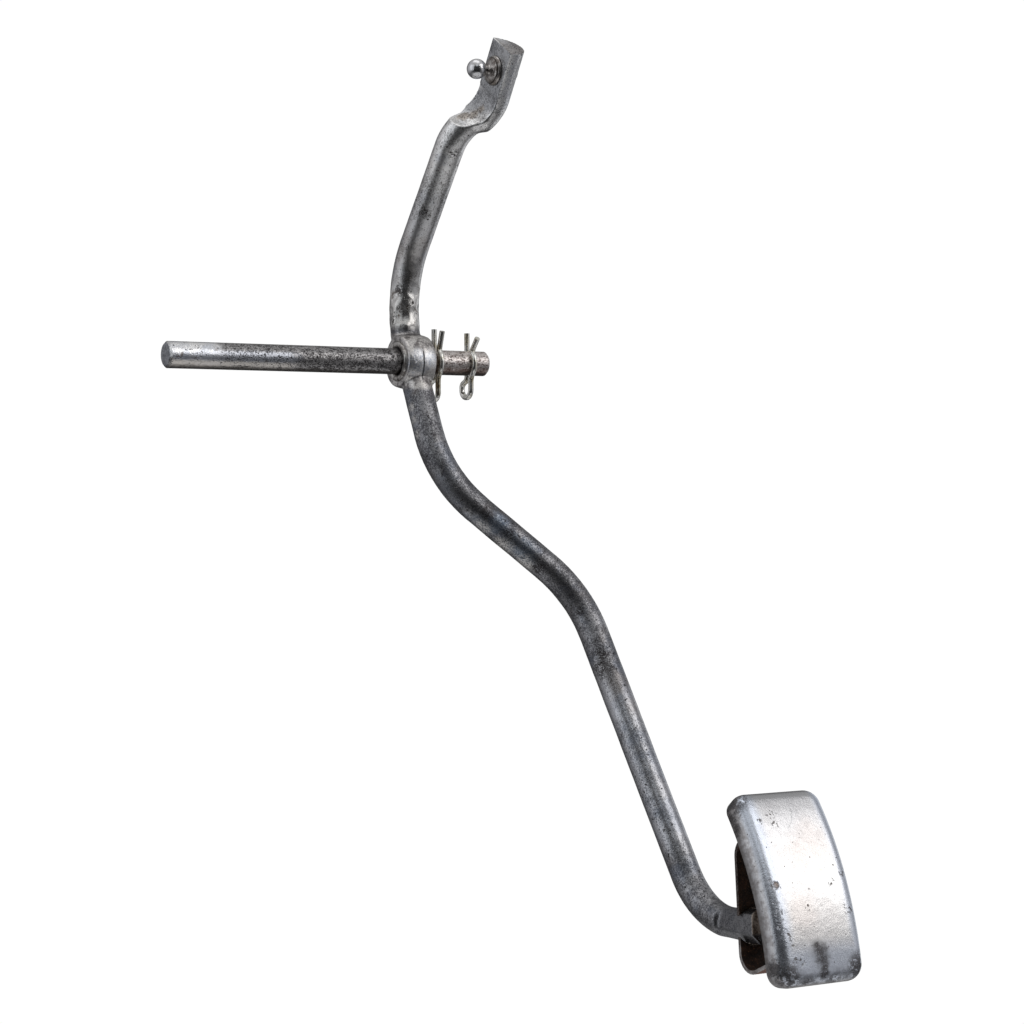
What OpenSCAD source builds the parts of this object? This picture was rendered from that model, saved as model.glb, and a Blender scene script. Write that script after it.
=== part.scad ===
// Hanging accelerator pedal for a classic car: a bent forged lever that swings on
// a plain cross shaft, with a linkage ball at the top and a crowned steel pad below.
// Millimetres. X runs along the cross shaft, +Y points away from the driver, +Z up.
// The origin is on the pivot axis at the shaft shoulder, the left end of the bush.

/* [Lever rod] */
// diameter of the round lever rod
rod_d = 14.5; // [12:0.1:17]
// side offset of the upper bend from the shoulder
up_bend_x = 7.7; // [5:0.1:12]
// distance of the upper bend behind the pivot
up_bend_y = 15.3; // [10:0.1:20]
// height of the upper bend above the pivot
up_bend_z = 30.8; // [30:0.1:38]
// centre line radius of the upper bend
up_bend_r = 56; // [45:1:58]
// side offset of the lower end of the jog
jog_low_x = 13.6; // [10:0.1:17]
// distance of the jog in front of the pivot
jog_low_y = 36; // [32:0.1:40]
// height of the jog above the pivot
jog_low_z = 108.4; // [100:0.1:118]
// centre line radius at the bottom of the jog
jog_low_r = 23; // [18:0.5:26]
// centre line radius at the top of the jog
jog_top_r = 16; // [12:0.5:18]
// rise of the jog measured along the arm
jog_rise = 13.4; // [12:0.1:16]
// side offset of the first lower bend
low_bend_x = 9.7; // [7:0.1:13]
// distance of the first lower bend in front of the pivot
low_bend_y = 26.7; // [22:0.1:31]
// depth of the first lower bend below the pivot
low_bend_z = 57.2; // [52:0.1:63]
// centre line radius of the first lower bend
low_bend_r = 56; // [44:1:62]
// side offset of the second lower bend
side_bend_x = 74; // [66:0.5:80]
// distance of the second lower bend in front of the pivot
side_bend_y = 49.2; // [44:0.1:54]
// depth of the second lower bend below the pivot
side_bend_z = 113.6; // [106:0.1:120]
// centre line radius of the second lower bend
side_bend_r = 59; // [46:1:66]
// side offset of the last bend, behind the pad
heel_x = 94.3; // [88:0.1:100]
// distance of the last bend in front of the pivot
heel_y = 124.3; // [116:0.1:132]
// depth of the last bend below the pivot
heel_z = 262.8; // [245:0.5:280]
// centre line radius of the last bend
heel_r = 35; // [26:1:38]
// length of the last straight run into the pad bracket
toe_run = 47.2; // [43:0.1:54]
// rise of the last straight run
toe_rise = 2.8; // [0:0.1:8]
// side drift of the last straight run
toe_drift = 0.6; // [0:0.1:3]
// slant of the cut end of the rod, in degrees
toe_cut = 20; // [0:1:30]
// diameter of the rod's hammered end, in the bracket
toe_d = 16.2; // [15:0.1:17]
// depth of the wide flat on the left of the hammered end
toe_flat = 1.4; // [0.5:0.1:2]
// depth of the narrow flat below the wide one
toe_low_flat = 0.75; // [0.3:0.05:1.2]
// run-out angle of the two flats, in degrees
toe_runout = 3.5; // [2:0.5:6]

/* [Pivot eye] */
// width of the eye forged on the lever
eye_w = 15.5; // [13:0.1:16.5]
// diameter of the crowned eye at its middle
eye_d = 27.4; // [25:0.1:32]
// diameter of the eye at its two faces
eye_face_d = 24.8; // [23:0.1:25.6]

/* [Bush] */
// length of the split bush
bush_len = 17; // [16.2:0.1:20]
// outer diameter of the split bush
bush_d = 19; // [18:0.1:20]
// running clearance all round the shaft in the bush
bush_play = 0.05; // [0.03:0.01:0.08]
// width of the slit along the bush
bush_slit = 0.5; // [0.3:0.1:1.2]

/* [Cross shaft] */
// diameter of the free journal at the left
shaft_d = 12.7; // [12:0.01:12.7]
// length of the free journal, left of the shoulder
shaft_free = 120.5; // [90:0.5:150]
// length of the shaft right of the shoulder
shaft_stub = 50.1; // [46:0.1:60]
// diameter of the shaft inside the bush and to its right
stub_d = 12.2; // [11.4:0.01:12.3]
// chamfer at both ends of the shaft
shaft_chamfer = 1; // [0.4:0.1:2]

/* [Spring clips] */
// diameter of the clip wire
wire_d = 2.8; // [2.2:0.1:3.2]
// diameter of the cross holes in the shaft
clip_hole_d = 2.9; // [2.9:0.1:3.6]
// distance of the inner clip from the shoulder
clip_in_x = 21.5; // [20.5:0.1:24]
// distance of the outer clip from the shoulder
clip_out_x = 40; // [36:0.1:43]
// height of the straight leg above the shaft axis
clip_leg_up = 14.6; // [11:0.1:18]
// depth of the wire loop below the shaft axis
clip_loop_down = 16.8; // [16:0.1:20]
// width of the wire loop, at the wire's centre line
clip_loop_w = 8.8; // [8.2:0.1:11]
// how far the outer clip's tip stands out from its waist
clip_tip_out = 5.3; // [4:0.1:7]
// rise of the outer clip's tip above its waist
clip_tip_up = 5.8; // [4:0.1:8]
// how far the inner clip's tip stands out from its waist
in_tip_out = 3.1; // [2:0.1:5]
// rise of the inner clip's tip above its waist
in_tip_up = 8.7; // [6:0.1:10]
// extra length of the inner clip's straight leg
in_leg_more = 1.4; // [0:0.1:3]
// extra depth of the inner clip's loop
in_loop_more = 1.6; // [0:0.1:3]
// bend radius where the straight leg leaves the shaft
clip_leg_r = 2.2; // [1.8:0.1:2.4]
// bend radius at the back of the loop
clip_knee_r = 2.6; // [2:0.1:3]
// bend radius at the waist, below the flared tip
clip_tip_r = 1.8; // [1.5:0.1:2.2]

/* [Linkage ball] */
// diameter of the ball
ball_d = 9.525; // [8:0.005:13]
// distance from the flat of the lever to the ball centre
ball_reach = 9.5; // [9:0.1:13]
// diameter of the neck under the ball
neck_d = 5; // [4:0.1:6]
// diameter of the domed collar
collar_d = 14.4; // [12:0.1:16]
// thickness of the domed collar
collar_t = 3.2; // [2.5:0.1:4]
// diameter of the riveted shank
shank_d = 8; // [6:0.1:9]
// distance of the ball from the top end of the lever
ball_below_end = 13; // [10:0.1:16]

/* [Lever top end] */
// side offset of the swollen top end of the lever
top_x = 26.5; // [25:0.05:29]
// diameter of the swollen top end
top_d = 19.6; // [18:0.1:21]
// depth of the flat beyond the middle of the swollen end
top_flat = 1.6; // [0.5:0.05:2]
// length of the lever above the top of the jog
top_len = 32.2; // [28:0.1:38]
// slant of the cut top end, in degrees
top_cut = -1.5; // [-8:0.5:20]

/* [Pad] */
// width of the pad
pad_w = 48; // [42:0.5:60]
// length of the pad along its crowned face
pad_len = 92.5; // [80:1:110]
// radius of the crowned face
pad_crown = 155; // [130:1:200]
// depth of the turned edge all round the pad
pad_depth = 10; // [7:0.1:12]
// thickness of the pad sheet
pad_t = 2; // [1.2:0.1:2.5]
// rounding where the face turns into the edge
pad_edge_r = 6.6; // [3.5:0.1:7.5]
// corner radius of the pad outline
pad_corner_r = 8; // [7:0.5:12]
// lean of the pad face from upright, in degrees
pad_lean = 23.75; // [18:0.25:32]
// distance of the pad face middle ahead of the rod end
pad_ahead = 22.4; // [19:0.1:28]
// height of the pad face middle above the rod end
pad_above = 23.4; // [16:0.1:28]
// side shift of the pad middle from the rod end
pad_shift = 7.5; // [4:0.1:10]

/* [Pad bracket] */
// thickness of the bracket strap
strap_t = 1.8; // [1.4:0.1:2.4]
// width of the bracket strap
strap_w = 28; // [26:0.5:34]
// side gap between the near edge of the strap and the rod centre
strap_side = 6.2; // [4:0.1:6.8]
// distance of the strap back behind the rod end
strap_back = 12.2; // [11:0.1:15]
// height of the straight back above the rod centre
strap_up = 30.6; // [24:0.5:34]
// depth of the straight back below the rod centre
strap_down = 12.4; // [10:0.1:16]
// inner bend radius of the strap
strap_r = 7.2; // [3:0.1:9]
// rise of the two legs toward the pad, in degrees
strap_rise = 25; // [15:1:32]
// lean of the straight back away from the driver, in degrees
strap_lean = 4.3; // [0:0.1:8]
// diameter of the weld where it meets the strap
weld_d = 18; // [17:0.5:22]
// diameter of the weld at its front
weld_front_d = 14.2; // [13:0.1:16]
// length of the weld ahead of the strap
weld_len = 9; // [7:0.1:10]
// sideways shift of the weld to the hidden side of the rod
weld_side = 2.4; // [1.8:0.1:3]
// drop of the weld below the rod's middle
weld_drop = 1.2; // [0.5:0.1:2]

/* [Hidden] */
$fn = 64;
eps = 0.01;
big = 400;
// each straight reaches a little way into the bends beside it, a hair slimmer
lap = 0.3;
slim = 0.06;
rod_r = rod_d / 2;
wire_r = wire_d / 2;
mid_x = bush_len / 2;
steel = [0.47, 0.47, 0.48];
dark = [0.36, 0.36, 0.37];
bright = [0.78, 0.78, 0.79];
zinc = [0.72, 0.71, 0.67];
rust = [0.33, 0.22, 0.16];
bead = [0.58, 0.52, 0.46];
// way points of the rod's centre line
eye_c = [mid_x, 0, 0];
up_bend = [up_bend_x, up_bend_y, up_bend_z];
jog_low = [jog_low_x, -jog_low_y, jog_low_z];
top_dir = unit([0, jog_low[1] - up_bend[1], jog_low[2] - up_bend[2]]);
jog_top = [top_x, 0, 0] + [0, jog_low[1], jog_low[2]] + jog_rise * top_dir;
top_end = jog_top + top_len * top_dir;
low_bend = [low_bend_x, -low_bend_y, -low_bend_z];
side_bend = [side_bend_x, -side_bend_y, -side_bend_z];
heel = [heel_x, -heel_y, -heel_z];
toe = heel + [toe_drift, -toe_run, toe_rise];
toe_dir = unit(toe - heel);
// the flat side of the top end, and the ball's place on it
top_lean = atan2(-top_dir[1], top_dir[2]);
flat_x = top_x - top_flat;
ball_foot = top_end - ball_below_end * top_dir;
// centre of the pad's crown
pad_mid = toe + [pad_shift, -pad_ahead, pad_above];
pad_axis = pad_mid + pad_crown * [0, cos(pad_lean), -sin(pad_lean)];
// angle between the points round the pad's corners
corner_step = 18;
// tilt of the wide flat upward, and the step from it down to the narrow one
toe_flat_up = 12;
toe_flat_step = 57;
// the strap
strap_x0 = toe[0] - strap_side;
strap_y = toe[1] + strap_back;
web_front = strap_y - strap_t;

function unit(v) = v / norm(v);
function between(u, v) = acos(max(-1, min(1, u * v)));
// angles that turn the three axes onto ex, ey and ez
function turn(ex, ey, ez) =
    [atan2(ey[2], ez[2]), -asin(max(-1, min(1, ex[2]))), atan2(ex[1], ex[0])];
// distance from a bend's corner to the start of its arc
function setback(p, q, s, r) = r * tan(between(unit(q - p), unit(s - q)) / 2);

// a straight round bar from p to q, with two end radii
module bar(p, q, r1, r2) {
    d = unit(q - p);
    translate(p) rotate([0, acos(d[2]), atan2(d[1], d[0])])
        cylinder(h = norm(q - p), r1 = r1, r2 = r2);
}

// a round bar bent round the corner q, coming from p and leaving to s
module elbow(p, q, s, r, bar_r) {
    u = unit(q - p);
    v = unit(s - q);
    m = unit(v - (v * u) * u);
    start = q - setback(p, q, s, r) * u;
    translate(start + r * m) rotate(turn(-m, u, cross(-m, u)))
        rotate_extrude(angle = between(u, v)) translate([r, 0]) circle(r = bar_r);
}

// the straight length between two bends
module between_bends(p, q, back_p, back_q, r1, r2) {
    u = unit(q - p);
    bar(p + (back_p - lap) * u, q - (back_q - lap) * u, r1 - slim, r2 - slim);
}

// turns a flat drawing in Y and Z so that it stands along the X axis
module along_x() { rotate([90, 0, 90]) children(); }

// the upper arm: from the eye, round the upper bend and over the jog
module upper_rod() {
    b1 = setback(eye_c, up_bend, jog_low, up_bend_r);
    b2 = setback(up_bend, jog_low, jog_top, jog_low_r);
    b3 = setback(jog_low, jog_top, top_end, jog_top_r);
    between_bends(eye_c, up_bend, 0, b1, rod_r, rod_r);
    elbow(eye_c, up_bend, jog_low, up_bend_r, rod_r);
    between_bends(up_bend, jog_low, b1, b2, rod_r, rod_r);
    elbow(up_bend, jog_low, jog_top, jog_low_r, rod_r);
    between_bends(jog_low, jog_top, b2, b3, rod_r, top_d / 2);
    elbow(jog_low, jog_top, top_end, jog_top_r, top_d / 2);
    between_bends(jog_top, top_end, b3, 0, top_d / 2, top_d / 2);
}

// the lower arm: three bends down to the pad
module lower_rod() {
    b1 = setback(eye_c, low_bend, side_bend, low_bend_r);
    b2 = setback(low_bend, side_bend, heel, side_bend_r);
    b3 = setback(side_bend, heel, toe, heel_r);
    between_bends(eye_c, low_bend, 0, b1, rod_r, rod_r);
    elbow(eye_c, low_bend, side_bend, low_bend_r, rod_r);
    between_bends(low_bend, side_bend, b1, b2, rod_r, rod_r);
    elbow(low_bend, side_bend, heel, side_bend_r, rod_r);
    between_bends(side_bend, heel, b2, b3, rod_r, rod_r);
    elbow(side_bend, heel, toe, heel_r, rod_r);
    toe_bar();
}

// the last straight run, swollen toward its hammered end
module toe_bar() {
    between_bends(heel, toe, setback(side_bend, heel, toe, heel_r), 0, rod_r, toe_d / 2);
}

// half space beyond the slanted cut of the lower rod end
module toe_waste() {
    translate(toe) rotate([-toe_cut, 0, 0]) translate([-rod_d, -rod_d * 2, -rod_d])
        cube([rod_d * 2, rod_d * 2, rod_d * 2]);
}

// the metal beyond one hammered flat, side degrees above the left of the rod
module toe_flat_waste(side, depth) {
    translate(toe) rotate([-atan2(toe_rise, toe_run), 0, 0]) rotate([0, side, 0])
        translate([depth - toe_d / 2, 0, 0]) rotate([0, 0, -toe_runout])
            translate([-rod_d, -rod_d / 2, -rod_d]) cube([rod_d, 2.5 * rod_d, 2 * rod_d]);
}

// the crowned eye: a spherical belt between two flat faces
module eye() {
    half_w = eye_w / 2;
    rise = (eye_d - eye_face_d) / 2;
    crown_r = (half_w * half_w + rise * rise) / (2 * rise);
    translate(eye_c) along_x() rotate_extrude() intersection() {
        translate([0, -half_w]) square([eye_d, eye_w]);
        union() {
            translate([eye_d / 2 - crown_r, 0]) circle(r = crown_r);
            translate([0, -half_w]) square([eye_face_d / 2 - rise, eye_w]);
        }
    }
}

module lever_arm() color(steel) difference() {
    union() {
        upper_rod();
        lower_rod();
        eye();
    }
    // bore for the bush
    translate([-eps, 0, 0]) rotate([0, 90, 0])
        cylinder(h = bush_len + 2 * eps, d = bush_d);
    // flat on the left of the top end, running out round the inside of the jog
    b3 = setback(jog_low, jog_top, top_end, jog_top_r);
    translate(jog_top + b3 * top_dir) rotate([top_lean, 0, 0]) {
        translate([-top_flat - top_d, -top_d, 0]) cube([top_d, 2 * top_d, top_len + top_d]);
        translate([-jog_top_r, 0, 0]) rotate([90, 0, 0])
            cylinder(h = 3 * top_d, r = jog_top_r - top_flat + 4 * slim, center = true);
    }
    // slanted cut of the top end
    translate(top_end) rotate([top_lean + top_cut, 0, 0])
        translate([-top_d, -top_d, 0]) cube([top_d * 2, top_d * 2, top_d]);
    // hole for the ball stud's shank
    translate([flat_x - eps, ball_foot[1], ball_foot[2]]) rotate([0, 90, 0])
        cylinder(h = top_d, d = shank_d);
    toe_waste();
    toe_flat_waste(toe_flat_up, toe_flat);
    toe_flat_waste(toe_flat_up - toe_flat_step, toe_low_flat);
}

module pivot_bush() color(bright) rotate([0, 90, 0]) difference() {
    cylinder(h = bush_len, d = bush_d);
    translate([0, 0, -eps]) cylinder(h = bush_len + 2 * eps, d = stub_d + 2 * bush_play);
    // slit, turned up and a little back
    rotate([0, 0, 158]) translate([0, -bush_slit / 2, -eps])
        cube([bush_d, bush_slit, bush_len + 2 * eps]);
}

module pivot_shaft() color(dark) difference() {
    union() {
        rotate([0, -90, 0]) {
            cylinder(h = shaft_free - shaft_chamfer, d = shaft_d);
            translate([0, 0, shaft_free - shaft_chamfer])
                cylinder(h = shaft_chamfer, d1 = shaft_d, d2 = shaft_d - 2 * shaft_chamfer);
        }
        rotate([0, 90, 0]) {
            cylinder(h = shaft_stub - shaft_chamfer, d = stub_d);
            translate([0, 0, shaft_stub - shaft_chamfer])
                cylinder(h = shaft_chamfer, d1 = stub_d, d2 = stub_d - 2 * shaft_chamfer);
        }
    }
    for (x = [clip_in_x, clip_out_x])
        translate([x, 0, -shaft_d]) cylinder(h = 2 * shaft_d, d = clip_hole_d);
}

// wire bent in one plane through the corners pts, each with its bend radius
module wire(pts, radii) {
    n = len(pts);
    back = [for (i = [0 : n - 1]) i == 0 || i == n - 1 ? 0
        : setback(pts[i - 1], pts[i], pts[i + 1], radii[i])];
    for (i = [0 : n - 2])
        between_bends(pts[i], pts[i + 1], back[i], back[i + 1], wire_r, wire_r);
    for (i = [1 : n - 2])
        elbow(pts[i - 1], pts[i], pts[i + 1], radii[i], wire_r);
}

// hairpin clip: a straight leg through the shaft, a loop below, and a leg that
// hugs the front of the shaft and flares out at its tip
module hairpin(leg_up, loop_down, tip_out, tip_up) {
    loop_r = clip_loop_w / 2;
    back_y = 0.57 * clip_loop_w;
    front_y = back_y - clip_loop_w;
    hug_r = stub_d / 2 + wire_r;
    hug_half = 36;
    hug_y = -hug_r / cos(hug_half);
    slope = tan(hug_half);
    waist_y = 0.67 * hug_r;
    pts = [
        [0, 0, leg_up],
        [0, 0, -1.1 * hug_r],
        [0, back_y, -1.1 * hug_r - 0.45 * back_y],
        [0, back_y, -loop_down],
        [0, front_y, -loop_down],
        [0, front_y, (hug_y - front_y) / slope],
        [0, hug_y, 0],
        [0, -waist_y, (-waist_y - hug_y) / slope],
        [0, -waist_y - tip_out, (-waist_y - hug_y) / slope + tip_up]
    ];
    wire(pts, [0, clip_leg_r, clip_knee_r, 0.9 * loop_r, 0.9 * loop_r, clip_knee_r + wire_r / 4,
        hug_r, clip_tip_r, 0]);
}

module inner_clip() color(zinc)
    translate([clip_in_x, 0, 0]) hairpin(clip_leg_up + in_leg_more, clip_loop_down + in_loop_more,
        in_tip_out, in_tip_up);

module outer_clip() color(zinc)
    translate([clip_out_x, 0, 0]) hairpin(clip_leg_up, clip_loop_down, clip_tip_out, clip_tip_up);

module ball_stud() color(bright) translate([flat_x, ball_foot[1], ball_foot[2]])
    rotate([0, -90, 0]) {
        translate([0, 0, ball_reach]) sphere(d = ball_d);
        translate([0, 0, collar_t - eps]) cylinder(h = ball_reach - collar_t, d = neck_d);
        // domed collar
        intersection() {
            cylinder(h = collar_t, d = collar_d);
            translate([0, 0, collar_t - collar_d]) sphere(r = collar_d);
        }
        // shank, peened over at the back
        translate([0, 0, -top_d / 2 - top_flat]) cylinder(h = top_d / 2 + top_flat + eps, d = shank_d);
    }

// corners of a rounded rectangle w by l, with points spaced along its long sides
function outline(w, l, c) = [
    for (q = [[1, 1, 0], [-1, 1, 90], [-1, -1, 180], [1, -1, 270]]) each concat(
        [for (a = [0 : corner_step : 90])
            [q[0] * (w / 2 - c) + c * cos(q[2] + a), q[1] * (l / 2 - c) + c * sin(q[2] + a)]],
        q[0] * q[1] > 0 ? [] : [for (i = [1 : 9]) [q[0] * w / 2, q[1] * (l / 2 - c) * (1 - i / 5)]])
];
// wraps a flat outline onto the pad's crown, depth below the face
function on_crown(pts, depth) = [for (p = pts)
    let (a = pad_lean + p[1] / pad_crown * 180 / PI, r = pad_crown - depth)
        [p[0], -r * cos(a), r * sin(a)]];
// one ring of the pad's skin, drawn in from the outline and down from the face
function skin(in, depth) =
    on_crown(outline(pad_w - 2 * in, pad_len - 2 * in, max(0.6, pad_corner_r - in)), depth);
// the rings from the back of the turned edge and over the rounding;
// the wall is the distance in from the outer skin
function skin_rings(wall) = let (r = pad_edge_r - wall) concat(
    [skin(wall, pad_depth)],
    [for (a = [0 : 15 : 90]) skin(wall + r * (1 - cos(a)), wall + r * (1 - sin(a)))]);

module pad_plate() color(bright) {
    outer = skin_rings(0);
    inner = skin_rings(pad_t);
    n = len(outer[0]);
    m = len(outer);
    rings = concat([for (i = [m - 1 : -1 : 0]) outer[i]], inner);
    quads = [for (k = [0 : 2 * m - 2], i = [0 : n - 1]) let (j = (i + 1) % n)
        each [[k * n + i, k * n + j, (k + 1) * n + j], [k * n + i, (k + 1) * n + j, (k + 1) * n + i]]];
    // strips straight across the pad, between mirrored points of the ring
    pair = 2 * floor(90 / corner_step) + 1;
    strips = [for (i = [(pair + 1) / 2 : (pair + n - 3) / 2])
        let (c = (pair - i - 1 + n) % n, d = (pair - i + n) % n)
            each [[i, c, i + 1], [i, d, c]]];
    last = (2 * m - 1) * n;
    front_cap = strips;
    back_cap = [for (f = strips) [last + f[0], last + f[2], last + f[1]]];
    translate(pad_axis) polyhedron(points = [for (r = rings) each r],
        faces = concat(front_cap, quads, back_cap));
}

// points on an arc about c
function arc(c, r, a0, a1) = [for (i = [0 : 8])
    let (a = a0 + (a1 - a0) * i / 8) c + r * [cos(a), sin(a)]];

// the strap seen from the side: two legs that rise toward the pad, and a straight back
module strap() {
    up = [sin(strap_lean), cos(strap_lean)];
    base = [web_front, toe[2]] - strap_r * [up[1], -up[0]];
    top_c = base + strap_up * up;
    low_c = base - strap_down * up;
    top_a = 90 - strap_rise;
    low_a = -90 - strap_rise;
    outer_r = strap_r + strap_t;
    leg = pad_crown / 3 * [-cos(strap_rise), sin(strap_rise)];
    rear = concat(arc(top_c, outer_r, top_a, -strap_lean), arc(low_c, outer_r, -strap_lean, low_a));
    front = concat(arc(low_c, strap_r, low_a, -strap_lean), arc(top_c, strap_r, -strap_lean, top_a));
    translate([strap_x0, 0, 0]) along_x() linear_extrude(strap_w) polygon(concat(
        [rear[0] + leg], rear, [rear[len(rear) - 1] + leg],
        [front[0] + leg], front, [front[len(front) - 1] + leg]));
}

module pad_bracket() color(rust) difference() {
    // the legs end against the inside of the pad's face
    intersection() {
        strap();
        translate(pad_axis) translate([-big / 2, 0, 0]) rotate([0, 90, 0])
            cylinder(h = big, r = pad_crown - pad_t);
    }
    // bite for the rod, open at the near edge
    toe_bar();
}

// the weld lies round the right of the rod's end and under it
module arm_weld() color(bead) difference() {
    translate([toe[0], web_front, toe[2]]) rotate([90 - strap_lean, 0, 0])
        translate([weld_side, -weld_drop, 0]) cylinder(h = weld_len, d1 = weld_d, d2 = weld_front_d);
    toe_bar();
}

lever_arm();
pivot_bush();
pivot_shaft();
inner_clip();
outer_clip();
ball_stud();
pad_plate();
pad_bracket();
arm_weld();
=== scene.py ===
"""Looks of a hanging accelerator pedal: a worn forged lever on a cross shaft, with two
spring clips, a linkage ball and a crowned steel pad on a rusty strap bracket."""

import math

import bmesh
import bpy
from mathutils import Matrix, Vector, noise


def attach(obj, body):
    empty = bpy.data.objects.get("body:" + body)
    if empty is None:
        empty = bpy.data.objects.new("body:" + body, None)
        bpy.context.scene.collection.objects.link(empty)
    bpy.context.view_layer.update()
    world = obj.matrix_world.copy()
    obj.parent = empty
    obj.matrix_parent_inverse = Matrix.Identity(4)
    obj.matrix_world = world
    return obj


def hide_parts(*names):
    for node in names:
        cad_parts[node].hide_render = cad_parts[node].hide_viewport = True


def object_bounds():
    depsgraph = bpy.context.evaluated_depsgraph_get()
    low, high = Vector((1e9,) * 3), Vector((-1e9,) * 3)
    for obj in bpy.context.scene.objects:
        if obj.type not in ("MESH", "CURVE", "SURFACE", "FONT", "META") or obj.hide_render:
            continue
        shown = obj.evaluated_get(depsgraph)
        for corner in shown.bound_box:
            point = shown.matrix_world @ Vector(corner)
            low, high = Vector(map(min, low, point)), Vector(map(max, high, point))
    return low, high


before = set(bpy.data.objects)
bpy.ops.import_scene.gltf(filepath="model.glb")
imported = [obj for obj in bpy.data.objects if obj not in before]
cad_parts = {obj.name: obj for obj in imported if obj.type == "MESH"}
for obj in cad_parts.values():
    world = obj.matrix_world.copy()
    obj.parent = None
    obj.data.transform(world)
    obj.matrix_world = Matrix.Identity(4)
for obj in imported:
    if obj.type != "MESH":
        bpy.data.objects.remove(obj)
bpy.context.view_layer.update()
MM = 0.001


# The camera, solved on the cross shaft and the lever rod in the photo

CAMERA_PLACE = Vector((-558.95, -1058.65, -70.86)) * MM
CAMERA_RIGHT = Vector((0.861284, -0.508107, -0.004108))
CAMERA_UP = Vector((0.004770, 0.0, 0.999989))
CAMERA_LENS = 86.13
SENSOR = 36.0

# Sizes that the new pieces share with the solids, in metres

BALL_CENTRE = Vector((15.4, -53.98, 135.59)) * MM
FLAT_X = 24.9 * MM
BUSH_LONG = 17.0 * MM
PAD_MIDDLE = Vector((102.4, -193.9, -236.6)) * MM
PAD_WIDE, PAD_LONG, PAD_DEEP = 48.0 * MM, 92.5 * MM, 10.0 * MM
PAD_CROWN, PAD_LEAN = 155.0 * MM, math.radians(23.75)
PAD_CORNER, PAD_ROUNDING, PAD_SHEET = 8.0 * MM, 6.6 * MM, 2.0 * MM
TOE_END = Vector((94.9, -171.5, -260.0)) * MM


def place_camera():
    """Camera at the photo's viewing angle, with no shift and no depth of field."""
    data = bpy.data.cameras.new("photo_camera")
    data.lens, data.sensor_width, data.sensor_fit = CAMERA_LENS, SENSOR, "HORIZONTAL"
    data.clip_start, data.clip_end = 0.05, 60.0
    right = CAMERA_RIGHT.normalized()
    back = right.cross(CAMERA_UP).normalized()
    up = back.cross(right)
    turn = Matrix((right, up, back)).transposed().to_4x4()
    camera = bpy.data.objects.new("photo_camera", data)
    camera.matrix_world = Matrix.Translation(CAMERA_PLACE) @ turn
    bpy.context.scene.collection.objects.link(camera)
    bpy.context.scene.camera = camera


def soft_light(name, place, aim, wide, high, radiance, tint=(1.0, 1.0, 1.0)):
    """A rectangular soft light at place, facing aim, as bright as radiance."""
    data = bpy.data.lights.new(name, "AREA")
    data.shape, data.size, data.size_y = "RECTANGLE", wide, high
    data.energy, data.color = radiance * math.pi * wide * high, tint
    lamp = bpy.data.objects.new(name, data)
    lamp.location = place
    lamp.rotation_euler = (Vector(aim) - Vector(place)).to_track_quat("-Z", "Y").to_euler()
    lamp.visible_camera = False
    bpy.context.scene.collection.objects.link(lamp)


# Materials, on Object coordinates in metres


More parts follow.
